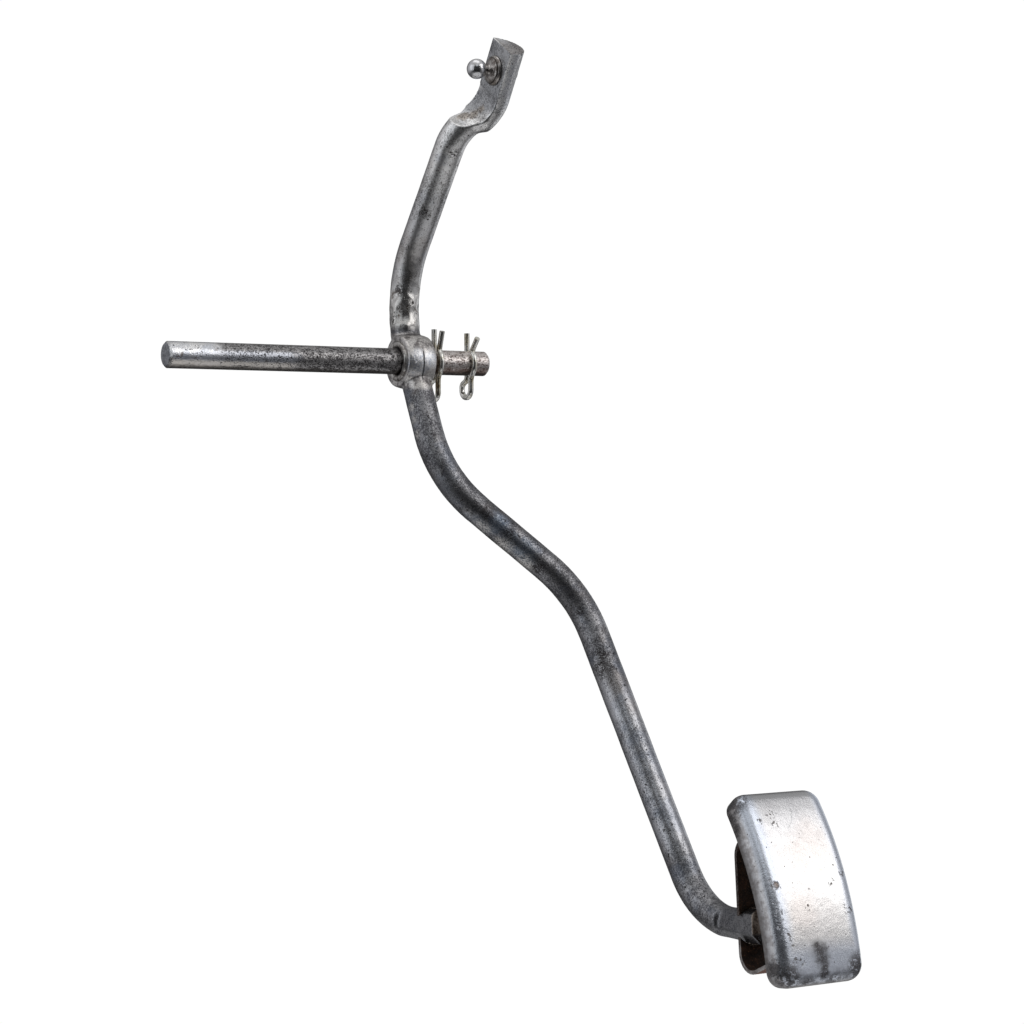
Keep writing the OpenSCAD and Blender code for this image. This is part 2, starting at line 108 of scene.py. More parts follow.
class Finish:
    """A small helper that builds one procedural material."""

    def __init__(self, name):
        self.material = bpy.data.materials.new(name)
        self.material.use_nodes = True
        self.tree = self.material.node_tree
        self.tree.nodes.clear()
        self.shader = self.node("ShaderNodeBsdfPrincipled")
        output = self.node("ShaderNodeOutputMaterial")
        self.link(self.shader.outputs[0], output.inputs["Surface"])
        self.place = self.node("ShaderNodeTexCoord").outputs["Object"]

    def node(self, kind, **settings):
        made = self.tree.nodes.new(kind)
        for key, value in settings.items():
            setattr(made, key, value)
        return made

    def link(self, a, b):
        self.tree.links.new(a, b)

    def feed(self, value, socket):
        """Puts a number, a colour or another node's output into a socket."""
        if isinstance(value, (int, float)):
            size = len(socket.default_value) if hasattr(socket.default_value, "__len__") else 0
            socket.default_value = ((value,) * 3 + (1.0,))[:size] if size else value
        elif isinstance(value, (tuple, Vector)):
            socket.default_value = (*value, 1.0)[: len(socket.default_value)]
        else:
            self.link(value, socket)

    def along(self, scale, turn=(0, 0, 0), shift=(0, 0, 0), place=None):
        """Coordinates scaled, turned and moved."""
        made = self.node("ShaderNodeMapping")
        self.feed(place or self.place, made.inputs["Vector"])
        made.inputs["Scale"].default_value = scale
        made.inputs["Rotation"].default_value = turn
        made.inputs["Location"].default_value = shift
        return made.outputs[0]

    def noise(self, scale, detail=3.0, rough=0.5, place=None, distort=0.0):
        made = self.node("ShaderNodeTexNoise")
        made.inputs["Scale"].default_value = scale
        made.inputs["Detail"].default_value = detail
        made.inputs["Roughness"].default_value = rough
        made.inputs["Distortion"].default_value = distort
        self.link(place or self.place, made.inputs["Vector"])
        return made.outputs["Fac"]

    def cells(self, scale, place=None, feature="F1", spread=1.0):
        made = self.node("ShaderNodeTexVoronoi", feature=feature)
        made.inputs["Scale"].default_value = scale
        made.inputs["Randomness"].default_value = spread
        self.link(place or self.place, made.inputs["Vector"])
        return made.outputs["Distance"]

    def ramp(self, fac, stops):
        """stops are (position, grey or colour)."""
        made = self.node("ShaderNodeValToRGB")
        marks = made.color_ramp.elements
        while len(marks) < len(stops):
            marks.new(0.5)
        for mark, (at, value) in zip(marks, stops):
            mark.position = at
            shade = (value,) * 3 if isinstance(value, (int, float)) else value
            mark.color = (*shade, 1.0)
        self.feed(fac, made.inputs["Fac"])
        return made.outputs["Color"]

    def mix(self, fac, a, b, how="MIX"):
        made = self.node("ShaderNodeMix", data_type="RGBA", blend_type=how)
        self.feed(fac, made.inputs[0])
        self.feed(a, made.inputs[6])
        self.feed(b, made.inputs[7])
        return made.outputs[2]

    def maths(self, how, a, b=0.0, clamp=False):
        made = self.node("ShaderNodeMath", operation=how, use_clamp=clamp)
        self.feed(a, made.inputs[0])
        self.feed(b, made.inputs[1])
        return made.outputs[0]

    def both(self, a, b):
        return self.maths("MULTIPLY", a, b, clamp=True)

    def either(self, a, b):
        return self.maths("MAXIMUM", a, b, clamp=True)

    def less(self, a, share):
        return self.maths("MULTIPLY", a, share, clamp=True)

    def invert(self, a):
        return self.maths("SUBTRACT", 1.0, a, clamp=True)

    def step(self, value, start, end):
        """0 before start and 1 after end, with a soft change between them."""
        made = self.node("ShaderNodeMapRange", interpolation_type="SMOOTHSTEP")
        self.feed(value, made.inputs["Value"])
        low, high, out_low, out_high = (start, end, 0.0, 1.0) if start < end else (end, start, 1.0, 0.0)
        made.inputs["From Min"].default_value = low
        made.inputs["From Max"].default_value = high
        made.inputs["To Min"].default_value = out_low
        made.inputs["To Max"].default_value = out_high
        return made.outputs["Result"]

    def axis(self, which, place=None):
        split = self.node("ShaderNodeSeparateXYZ")
        self.link(place or self.place, split.inputs[0])
        return split.outputs[which]

    def band(self, which, start, end, place=None, wander=None, reach=0.0):
        """0 before start and 1 after end along an axis, in metres; wander makes it uneven."""
        value = self.axis(which, place)
        if wander:
            shift = self.maths("MULTIPLY", self.maths("SUBTRACT", wander, 0.5), reach)
            value = self.maths("ADD", value, shift)
        return self.step(value, start, end)

    def facing(self, direction):
        """Distance along a direction, in metres."""
        made = self.node("ShaderNodeVectorMath", operation="DOT_PRODUCT")
        self.link(self.place, made.inputs[0])
        made.inputs[1].default_value = direction
        return made.outputs["Value"]

    def spot(self, centre, radius, wander, reach=0.8, place=None, soft=0.5):
        """A ragged patch round a point, 1 inside and 0 outside, in metres."""
        made = self.node("ShaderNodeVectorMath", operation="DISTANCE")
        self.link(place or self.place, made.inputs[0])
        made.inputs[1].default_value = centre
        shift = self.maths("MULTIPLY", self.maths("SUBTRACT", wander, 0.5), reach * radius * 2.0)
        return self.step(self.maths("ADD", made.outputs["Value"], shift),
                         radius * (1.0 + soft), radius * (1.0 - soft))

    def spots(self, marks, wander, reach=0.8, place=None, soft=0.5):
        """Several patches, each (centre in mm, radius in mm)."""
        total = None
        for centre, radius in marks:
            one = self.spot(Vector(centre) * MM, radius * MM, wander, reach, place, soft)
            total = self.either(total, one) if total else one
        return total

    def finish(self, colour, rough, metal=1.0, bumps=()):
        """bumps are (height, distance in metres), stacked."""
        self.feed(colour, self.shader.inputs["Base Color"])
        self.feed(rough, self.shader.inputs["Roughness"])
        self.feed(metal, self.shader.inputs["Metallic"])
        normal = None
        for height, distance in bumps:
            made = self.node("ShaderNodeBump")
            made.inputs["Strength"].default_value = 1.0
            made.inputs["Distance"].default_value = distance
            self.link(height, made.inputs["Height"])
            if normal:
                self.link(normal, made.inputs["Normal"])
            normal = made.outputs["Normal"]
        if normal:
            self.link(normal, self.shader.inputs["Normal"])
        return self.material


# Dark oxide patches on the lever, as (place in mm, radius in mm)
LEVER_STAINS = [
    ((6.2, -18.0, 71.5), 2.7), ((4.1, 0.4, 35.0), 2.9), ((5.6, 0.2, 38.4), 1.8),
    ((3.3, 1.5, 26.3), 2.2), ((3.9, -5.9, 54.9), 1.5), ((27.5, -40.5, -75.3), 2.4),
    ((37.7, -44.1, -84.6), 3.0), ((51.7, -48.2, -100.1), 3.2), ((68.7, -58.7, -121.9), 1.8),
    ((73.5, -71.9, -148.6), 4.2), ((73.2, -69.5, -142.4), 3.6),
]
# Pale patches on the lever: rubbed metal on the diagonal, and a painted highlight streak down the left of the rod below
# the eye
LEVER_RUBBED_AND_HIGHLIGHT = [((27.0, -36.9, -81.3), 4.2), ((36.8, -40.1, -90.1), 4.8), ((46.4, -43.7, -98.4), 4.2),
                ((1.9, -12.1, -23.2), 2.2), ((1.9, -14.0, -29.1), 2.2), ((2.1, -17.7, -36.4), 2.0)]
JOG_SCALE = [((19.8, -41.6, 117.0), 3.6), ((17.2, -38.2, 115.4), 3.6), ((21.6, -44.2, 118.8), 2.8)]
LEVER_PITS = [((12.4, -37.2, 97.2), 2.6), ((13.6, -36.0, 99.4), 1.8), ((1.1, 5.7, 20.6), 3.5)]
LEVER_SHEEN = [((45.2, -46.9, -92.9), 5.5), ((33.0, -43.0, -79.0), 4.5), ((38.5, -46.0, -85.5), 3.5)]


def forged_steel():
    """Forged steel: charcoal speckle below the pivot, polished on the long straight, lighter
    satin above the pivot, hammered and shiny at the neck, brown where the jog was ground."""
    f = Finish("forged_steel")
    cloud = f.noise(48.0, 4.0, 0.6, f.along((1, 1, 1), shift=(0.31, 0.12, 0.7)))
    mottle = f.noise(260.0, 4.0, 0.68, f.along((1, 1, 0.7)))
    grain = f.noise(2100.0, 2.0, 0.6)
    speck = f.noise(1150.0, 2.0, 0.55)
    upper = f.band(2, 0.018, 0.05, wander=mottle, reach=0.01)
    straight = f.both(f.band(2, -0.146, -0.170, wander=mottle, reach=0.016), f.band(2, -0.243, -0.225))
    top_end = f.both(f.band(2, 0.114, 0.119), f.band(0, 0.0262, 0.0252))
    neck = f.both(f.band(2, 0.0145, 0.0185), f.band(2, 0.052, 0.028, wander=cloud, reach=0.02))
    toe = f.band(1, -0.136, -0.146)

    # worn metal shows through the oxide where the sum of the noises is high
    wear = f.maths("ADD", f.maths("MULTIPLY", cloud, 0.5), f.maths("MULTIPLY", mottle, 0.32))
    fine = f.maths("ADD", f.maths("MULTIPLY", grain, 0.55), f.maths("MULTIPLY", speck, 0.45))
    wear = f.maths("ADD", wear, fine)
    low_worn = f.step(wear, 0.82, 1.08)
    high_worn = f.step(wear, 0.74, 0.98)
    worn = f.mix(f.either(upper, straight), low_worn, high_worn)
    low = f.mix(worn, (0.098, 0.097, 0.106), (0.40, 0.40, 0.415))
    rubbed = f.mix(worn, (0.16, 0.165, 0.18), (0.52, 0.525, 0.55))
    high = f.mix(worn, (0.15, 0.143, 0.135), (0.66, 0.66, 0.67))
    high = f.mix(f.band(2, 0.072, 0.092), high, f.mix(worn, (0.34, 0.335, 0.33), (0.95, 0.945, 0.94)))
    colour = f.mix(straight, f.mix(upper, low, high), rubbed)
    # warm brown film in wide clouds, blue sheen in a few
    film = f.step(f.noise(38.0, 3.0, 0.6, f.along((1, 1, 1), shift=(1.3, 2.1, 0.4))), 0.5, 0.66)
    colour = f.mix(f.less(film, 0.25), colour, (0.28, 0.225, 0.18))
    blue = f.step(f.noise(60.0, 3.0, 0.6, f.along((1, 1, 1), shift=(4.3, 0.1, 2.4))), 0.50, 0.64)
    colour = f.mix(f.less(blue, 0.22), colour, (0.24, 0.29, 0.38))
    sheen = f.spots(LEVER_SHEEN, mottle, 1.0, soft=0.7)
    sheen_colour = f.mix(f.step(fine, 0.44, 0.56), (0.13, 0.17, 0.23), (0.44, 0.50, 0.58))
    colour = f.mix(f.less(sheen, 0.6), colour, sheen_colour)
    # pale patches: rubbed metal, and a painted highlight on the rod below the eye
    rubbed_and_highlight = f.both(f.spots(LEVER_RUBBED_AND_HIGHLIGHT, mottle, 1.2, soft=0.6), f.step(fine, 0.42, 0.52))
    colour = f.mix(f.less(rubbed_and_highlight, 0.7), colour, (0.72, 0.70, 0.67))
    # hammered neck: bright crests, brown hollows
    dents = f.cells(210.0, f.along((1, 1, 0.8), shift=(0.1, 0.2, 0.3)), "SMOOTH_F1")
    crest = f.step(dents, 0.28, 0.6)
    neck_colour = f.mix(f.step(mottle, 0.36, 0.46), (0.24, 0.20, 0.165), (0.74, 0.725, 0.70))
    colour = f.mix(f.less(neck, 0.85), colour, neck_colour)
    # the swollen end: grey satin flat with a rubbed edge carrying a painted highlight line, tan scale where the flat
    # runs out
    flat_colour = f.mix(f.step(wear, 0.78, 0.98), (0.21, 0.215, 0.23), (0.54, 0.555, 0.58))
    colour = f.mix(f.less(top_end, 0.8), colour, flat_colour)
    # the flat's edge: rubbed metal painted as a bright highlight line
    edge = f.both(f.both(f.band(2, 0.127, 0.131), f.band(0, 0.02502, 0.0251)), f.band(0, 0.0260, 0.0255))
    colour = f.mix(f.less(edge, 0.9), colour, (0.97, 0.965, 0.96))
    # the rounded back of the end: a painted highlight on the ridge beside the flat, a dark band past it
    back = f.band(2, 0.1205, 0.1255, wander=mottle, reach=0.004)
    painted_ridge_highlight = f.both(f.both(back, f.band(0, 0.0260, 0.0272)), f.band(0, 0.0312, 0.0296))
    colour = f.mix(f.less(painted_ridge_highlight, 0.65), colour, f.mix(f.step(fine, 0.40, 0.54), (0.52, 0.55, 0.62), (0.98, 0.985, 1.0)))
    colour = f.mix(f.less(f.both(back, f.band(0, 0.0304, 0.0322)), 0.6), colour, (0.11, 0.11, 0.125))
    run_out = f.spots(JOG_SCALE, mottle, 0.8, soft=0.4)
    brown = f.mix(f.step(speck, 0.42, 0.58), (0.13, 0.10, 0.08), (0.58, 0.52, 0.455))
    colour = f.mix(f.less(run_out, 0.75), colour, brown)
    # cut top face
    cap = f.step(f.facing((0.0, -0.5515, 0.8342)), 0.1556, 0.1559)
    cap_colour = f.mix(f.step(speck, 0.42, 0.58), (0.16, 0.15, 0.15), (0.42, 0.40, 0.39))
    colour = f.mix(f.less(cap, 0.85), colour, cap_colour)
    # stains and pits
    stain = f.both(f.spots(LEVER_STAINS, mottle, 1.5, soft=0.6), f.step(fine, 0.62, 0.46))
    colour = f.mix(f.less(stain, 0.85), colour, (0.045, 0.04, 0.04))
    specks = f.step(f.noise(640.0, 2.0, 0.55, f.along((1, 1, 1), shift=(0.3, 0.1, 0.7))), 0.345, 0.30)
    cluster = f.both(f.spots(LEVER_PITS, mottle, 0.9), f.step(f.noise(900.0, 2.0, 0.6), 0.49, 0.42))
    pits = f.either(specks, cluster)
    colour = f.mix(f.less(pits, 0.9), colour, (0.03, 0.026, 0.024))
    # eye: rubbed blue front and a dark flash line, with a darker film round its sides
    front = f.spots([((5.0, -13.5, -1.0), 5.6), ((12.5, -12.8, 0.5), 4.2)], mottle, 0.9, soft=0.5)
    eye = f.both(f.band(2, -0.0150, -0.0125), f.band(2, 0.0150, 0.0125))
    eye_colour = f.mix(f.step(mottle, 0.38, 0.56), (0.24, 0.22, 0.215), (0.86, 0.83, 0.80))
    eye_colour = f.mix(f.less(f.step(fine, 0.50, 0.40), 0.6), eye_colour, (0.16, 0.15, 0.15))
    colour = f.mix(f.less(eye, 0.8), colour, eye_colour)
    front_colour = f.mix(f.step(fine, 0.40, 0.54), (0.56, 0.61, 0.71), (0.95, 0.955, 0.97))
    colour = f.mix(f.less(front, 0.85), colour, front_colour)
    flash = f.both(f.both(f.band(0, 0.0079, 0.0083), f.band(0, 0.0090, 0.0086)),
                   f.both(f.band(2, -0.0105, -0.0085), f.both(f.band(2, 0.0055, 0.004), f.band(1, -0.008, -0.010))))
    colour = f.mix(f.less(flash, 0.85), colour, (0.03, 0.03, 0.035))
    # hammered flats and the rough cut at the pad end
    toe_colour = f.mix(f.step(wear, 0.80, 1.0), (0.09, 0.09, 0.10), (0.24, 0.24, 0.25))
    colour = f.mix(f.less(toe, 0.75), colour, toe_colour)
    cut = f.both(toe, f.step(f.facing((0.0, -0.9397, 0.3420)), 0.0716, 0.0720))
    cut_colour = f.mix(f.step(mottle, 0.36, 0.6), (0.13, 0.09, 0.065), (0.60, 0.51, 0.44))
    colour = f.mix(cut, colour, cut_colour)

    rough = f.mix(worn, 0.44, 0.27)
    rough = f.mix(straight, rough, f.mix(worn, 0.34, 0.22))
    rough = f.mix(upper, rough, f.mix(worn, 0.38, 0.28))
    rough = f.mix(f.less(neck, 0.8), rough, 0.2)
    rough = f.mix(f.less(eye, 0.7), rough, 0.27)
    rough = f.mix(f.either(stain, pits), rough, 0.5)
    rough = f.mix(f.either(f.either(run_out, cap), cut), rough, 0.62)
    height = f.mix(neck, f.less(mottle, 0.30), crest)
    tiny = f.mix(f.either(upper, straight), f.mix(0.5, grain, speck), f.less(fine, 0.5))
    return f.finish(colour, rough, f.mix(cut, 1.0, 0.35), [
        (height, 0.0006), (tiny, 0.00016), (f.invert(f.either(pits, flash)), 0.00022),
    ])


def shaft_steel():
    """Dark stained bar: bright and bluish at its free end, red-brown at the right stub, with painted reflection bands
    and painted shade along its underside.
    """
    f = Finish("shaft_steel")
    cloud = f.noise(90.0, 4.0, 0.62, f.along((0.6, 1, 1)))
    mottle = f.noise(520.0, 4.0, 0.7, f.along((0.6, 1, 1)))
    grain = f.noise(1900.0, 2.0, 0.6, f.along((0.7, 1, 1)))
    speckle = f.maths("ADD", f.maths("MULTIPLY", mottle, 0.5), f.maths("MULTIPLY", grain, 0.6))
    crust = f.step(speckle, 0.47, 0.66)
    base = f.mix(crust, (0.075, 0.071, 0.073), (0.50, 0.49, 0.49))
    stub = f.band(0, 0.016, 0.02)
    reddish = f.mix(f.step(speckle, 0.43, 0.62), (0.22, 0.175, 0.16), (0.82, 0.77, 0.745))
    colour = f.mix(stub, base, reddish)
    rusty = f.both(stub, f.less(f.band(2, -0.0010, -0.0045, wander=mottle, reach=0.004), 0.8))
    colour = f.mix(rusty, colour, (0.10, 0.05, 0.035))
    # the free end was polished by its bearing, in a ragged tongue toward the pivot; the tongue's bluish colour is a
    # painted reflection band
    free = f.band(0, -0.092, -0.099, wander=mottle, reach=0.012)
    tongue_polish_and_reflection = f.both(f.band(0, -0.052, -0.060, wander=mottle, reach=0.02),
                    f.both(f.band(2, 0.0032, 0.0012, wander=mottle, reach=0.003), f.step(speckle, 0.44, 0.56)))
    polished = f.mix(f.step(cloud, 0.36, 0.6), (0.66, 0.69, 0.76), (0.96, 0.955, 0.95))
    # painted reflection: a bluish band along the middle of the bar, over the polished tongue
    colour = f.mix(f.less(tongue_polish_and_reflection, 0.75), colour, (0.60, 0.63, 0.70))
    colour = f.mix(free, colour, polished)
    blots = f.both(free, f.step(f.noise(260.0, 4.0, 0.7, f.along((1, 1, 1), shift=(0.2, 0.4, 0.9))), 0.60, 0.66))
    colour = f.mix(f.less(blots, 0.7), colour, (0.20, 0.15, 0.11))
    # painted reflection: a tan band along the bar below its middle
    tan_reflection_band = f.both(f.band(2, -0.0018, -0.0032, wander=mottle, reach=0.002), f.either(free, tongue_polish_and_reflection))
    colour = f.mix(f.less(tan_reflection_band, 0.65), colour, (0.66, 0.60, 0.52))
    # painted shade: the underside of the bar darkened nearly to black
    underside_shade = f.band(2, -0.0040, -0.0056, wander=mottle, reach=0.002)
    colour = f.mix(f.less(underside_shade, 0.85), colour, (0.04, 0.033, 0.03))
    specks = f.step(f.noise(700.0, 2.0, 0.6, f.along((1, 1, 1), shift=(0.7, 0.3, 0.2))), 0.365, 0.31)
    colour = f.mix(f.less(specks, 0.9), colour, (0.025, 0.022, 0.022))
    # painted highlight: a bright ring on the end chamfer
    ring = f.both(f.band(0, -0.1193, -0.1197), f.band(0, -0.1206, -0.1201))
    face = f.band(0, -0.1201, -0.1204)
    colour = f.mix(f.less(face, 0.85), colour, f.mix(f.step(mottle, 0.4, 0.6), (0.16, 0.175, 0.21), (0.40, 0.42, 0.47)))
    colour = f.mix(f.less(ring, 0.6), colour, (0.70, 0.69, 0.68))
    rough = f.mix(f.either(free, tongue_polish_and_reflection), f.mix(crust, 0.44, 0.27), 0.19)
    return f.finish(colour, rough, 1.0, [
        (mottle, 0.00016), (grain, 0.00010), (f.invert(specks), 0.00015),
    ])


def plated_wire():
    """Bright plated spring wire with olive and brown tarnish."""
    f = Finish("plated_wire")
    cloud = f.noise(170.0, 3.0, 0.6)
    fine = f.noise(1500.0, 2.0, 0.6)
    colour = f.ramp(cloud, [(0.34, (0.38, 0.31, 0.20)), (0.44, (0.66, 0.62, 0.51)), (0.55, (0.90, 0.89, 0.85))])
    colour = f.mix(f.less(f.step(fine, 0.66, 0.74), 0.5), colour, (0.14, 0.10, 0.07))
    return f.finish(colour, f.ramp(cloud, [(0.35, 0.26), (0.65, 0.15)]), 1.0, [(cloud, 0.00010), (fine, 0.00002)])


def ball_steel():
    """Polished ball on a stained neck, a domed collar with painted shade in its groove and in the gap at its foot, a
    peened shank.
    """
    f = Finish("ball_steel")
    mottle = f.noise(420.0, 4.0, 0.65)
    grain = f.noise(1700.0, 2.0, 0.6)
    ball = f.band(0, 0.0205, 0.0198)
    polish = f.mix(f.step(mottle, 0.28, 0.42), (0.40, 0.39, 0.39), (0.72, 0.72, 0.735))
    stained = f.mix(f.step(mottle, 0.36, 0.58), (0.17, 0.145, 0.13), (0.50, 0.475, 0.455))
    low = f.band(2, 0.1335, 0.1285, wander=mottle, reach=0.006)
    stained = f.mix(f.less(low, 0.55), stained, f.mix(f.step(grain, 0.42, 0.6), (0.13, 0.10, 0.08), (0.50, 0.44, 0.38)))
    # painted shade: near-black bands in the collar's groove and in the gap where it meets the flat
    groove_shade = f.both(f.band(0, 0.02265, 0.02285), f.band(0, 0.02345, 0.02325))
    foot_gap_shade = f.both(f.band(0, 0.02455, 0.02475), f.band(0, 0.0255, 0.0252))
    stained = f.mix(f.less(f.either(groove_shade, foot_gap_shade), 0.85), stained, (0.03, 0.024, 0.02))
    colour = f.mix(ball, stained, polish)
    rough = f.mix(ball, f.mix(f.step(mottle, 0.36, 0.58), 0.42, 0.24), 0.15)
    return f.finish(colour, rough, 1.0, [(mottle, 0.00010), (grain, 0.00003)])


def bush_steel():
    """Worn bush, bright on its rim and dark in its chamfer."""
    f = Finish("bush_steel")
    mottle = f.noise(380.0, 4.0, 0.65)
    colour = f.mix(f.step(mottle, 0.35, 0.62), (0.19, 0.17, 0.155), (0.66, 0.645, 0.62))
    return f.finish(colour, f.mix(f.step(mottle, 0.35, 0.62), 0.5, 0.26), 1.0, [(mottle, 0.00022)])


# Marks on the pad, in mm across and along the flat sheet, with their radius
PAD_SMUDGE = [((-1.0, -31.4, 0), 3.9), ((-0.4, -34.6, 0), 3.7), ((-2.8, -28.6, 0), 2.2), ((0.2, -38.2, 0), 2.2)]
PAD_CORNER_STAINS = [((-20.0, -42.0, 0), 8.0), ((-24.0, -37.0, -4), 5.0), ((20.0, -40.0, 0), 7.0),
                     ((-9.0, -46.0, 0), 5.0), ((6.0, -46.5, 0), 5.0), ((0.0, -41.0, 0), 3.0),
                     ((-22.5, 43.0, -5), 8.0), ((-24.0, 38.0, -7), 6.0), ((-24.0, 30.0, -8), 4.0)]
PAD_PITS = [((-19.5, -14.0, 0), 2.2), ((-17.5, -22.5, 0), 2.0), ((-19.0, -0.8, 0), 1.8),
            ((-17.0, -1.4, 0), 1.3), ((-20.5, -7.5, 0), 1.8), ((-20.0, -18.5, 0), 1.6),
            ((-15.5, -26.5, 0), 1.6), ((-13.5, -34.0, 0), 2.6), ((-9.0, 32.5, 0), 1.9),
            ((-8.5, 27.5, 0), 1.4), ((-4.0, -12.5, 0), 1.1), ((18.5, -14.0, 0), 2.6),
            ((20.5, 2.0, 0), 2.4), ((12.0, -1.5, 0), 1.4), ((-16.0, 30.5, 0), 1.2)]


def pad_steel():
    """Cloudy polished sheet: warm and grey clouds, painted shade over its upper part, a painted blue reflection toward
    its edges, pits along the left, a dark smudge low in the middle and black scale round the bottom corners."""
    f = Finish("pad_steel")
    f.place = f.node("ShaderNodeAttribute", attribute_name="flat").outputs["Vector"]
    across, up_it = f.axis(0), f.axis(1)
    cloud = f.noise(42.0, 4.0, 0.6, f.along((1, 1, 1), shift=(0.21, 0.55, 0.1)))
    mottle = f.noise(320.0, 5.0, 0.72)
    grain = f.noise(1700.0, 2.0, 0.65)
    # painted shade: the upper part of the face greyer, standing in for a darker reflection
    upper_painted_shade = f.step(up_it, 0.006, 0.034)
    base = f.mix(f.step(cloud, 0.36, 0.62), (0.82, 0.80, 0.79), (0.92, 0.915, 0.91))
    base = f.mix(f.less(upper_painted_shade, 0.7), base, f.mix(f.step(cloud, 0.40, 0.6), (0.54, 0.53, 0.54), (0.68, 0.675, 0.69)))
    # painted shade darkening the top of the face
    top = f.less(f.step(up_it, 0.026, 0.043), 0.8)
    base = f.mix(top, base, (0.47, 0.475, 0.49))
    warm = f.spots([((3.0, 16.0, 0), 8.0), ((-7.0, -14.0, 0), 5.0), ((8.0, 24.0, 0), 6.0)], cloud, 1.2, soft=0.8)
    base = f.mix(f.less(warm, 0.35), base, (0.74, 0.655, 0.61))
    # painted reflection: blue toward the side and bottom edges of the face
    bottom_painted_reflection = f.step(up_it, -0.024, -0.034)
    edge = f.either(f.step(across, -0.0125, -0.0185), f.either(f.step(across, 0.015, 0.0195), bottom_painted_reflection))
    base = f.mix(f.less(edge, 0.75), base, (0.64, 0.70, 0.81))
    side = f.step(f.axis(2), -0.0012, -0.0040)
    base = f.mix(f.less(side, 0.85), base, f.mix(f.step(mottle, 0.36, 0.62), (0.30, 0.275, 0.26), (0.60, 0.595, 0.60)))
    lip = f.step(f.axis(2), -0.0062, -0.0085)
    base = f.mix(f.less(lip, 0.5), base, (0.15, 0.13, 0.12))
    # scale, smudge and pits
    ragged = f.maths("ADD", f.maths("MULTIPLY", mottle, 0.7), f.maths("MULTIPLY", grain, 0.3))
    scale = f.both(f.spots(PAD_CORNER_STAINS, ragged, 1.6, soft=0.35), f.step(ragged, 0.42, 0.50))
    foot = f.both(f.step(up_it, -0.036, -0.0455), f.step(ragged, 0.46, 0.54))
    smudge = f.both(f.spots(PAD_SMUDGE, ragged, 1.7, soft=0.7), f.step(grain, 0.31, 0.42))
    halo = f.both(f.spots([((-1.0, -31.0, 0), 6.5)], ragged, 1.2, soft=0.6), f.step(ragged, 0.49, 0.58))
    dark = f.either(f.either(scale, f.less(foot, 0.8)), f.either(smudge, f.less(halo, 0.7)))
    soot = f.mix(f.step(grain, 0.4, 0.6), (0.030, 0.027, 0.031), (0.13, 0.118, 0.115))
    colour = f.mix(f.less(dark, 0.90), base, soot)
    pit_noise = f.step(f.noise(650.0, 2.0, 0.6, f.along((1, 0.8, 1), shift=(0.4, 0.1, 0))), 0.46, 0.40)
    pits = f.both(f.spots(PAD_PITS, mottle, 1.0, soft=0.6), pit_noise)
    specks = f.step(f.noise(620.0, 2.0, 0.55, f.along((1, 1, 1), shift=(0.8, 0.2, 0.5))), 0.295, 0.26)
    pits = f.either(pits, specks)
    colour = f.mix(f.less(pits, 0.85), colour, (0.10, 0.08, 0.065))
    blobs = f.spots([((-18.0, -0.5, 0), 1.3), ((-20.3, 1.8, 0), 0.8), ((-3.5, -11.0, 0), 0.5)], mottle, 1.2)
    colour = f.mix(f.less(blobs, 0.8), colour, (0.16, 0.12, 0.10))
    yellow = f.spots([((7.5, 4.0, 0), 1.6)], mottle, 1.2, soft=0.8)
    colour = f.mix(f.less(yellow, 0.3), colour, (0.70, 0.56, 0.36))
    # one curved scratch near the top
    ring = f.node("ShaderNodeVectorMath", operation="DISTANCE")
    f.link(f.place, ring.inputs[0])
    ring.inputs[1].default_value = (-0.0095, 0.0355, 0.0)
    arc = f.step(f.maths("ABSOLUTE", f.maths("SUBTRACT", ring.outputs["Value"], 0.0125)), 0.00035, 0.00012)
    arc = f.both(arc, f.both(f.step(across, -0.0035, -0.0015), f.step(up_it, 0.0345, 0.0325)))
    colour = f.mix(f.less(arc, 0.7), colour, (0.97, 0.97, 0.97))
    rough = f.mix(f.step(ragged, 0.4, 0.6), 0.30, 0.23)
    rough = f.mix(dark, rough, 0.55)
    rough = f.mix(f.less(side, 0.8), rough, 0.32)
    return f.finish(colour, rough, 1.0, [
        (cloud, 0.00035), (mottle, 0.00010), (grain, 0.00005), (f.invert(f.either(pits, blobs)), 0.00022), (arc, 0.00010),
    ])


def rust_colour(f, dark=1.0):
    """Dark red-brown rust with orange specks, and the noise it was made from."""
    cloud = f.noise(260.0, 5.0, 0.7)
    grain = f.noise(1300.0, 3.0, 0.7)
    colour = f.ramp(cloud, [(0.34, (0.010 * dark, 0.006 * dark, 0.004 * dark)),
                            (0.5, (0.035 * dark, 0.017 * dark, 0.010 * dark)),
                            (0.66, (0.085 * dark, 0.038 * dark, 0.019 * dark))])
    colour = f.mix(f.less(f.step(grain, 0.58, 0.7), 0.8), colour, (0.30 * dark, 0.13 * dark, 0.055 * dark))
    return colour, cloud, grain


def pad_inside():
    """The hollow side of the pad, rusted like the bracket."""
    f = Finish("pad_inside")
    colour, cloud, grain = rust_colour(f, 1.4)
    return f.finish(colour, 0.78, 0.2, [(cloud, 0.0003), (grain, 0.0001)])


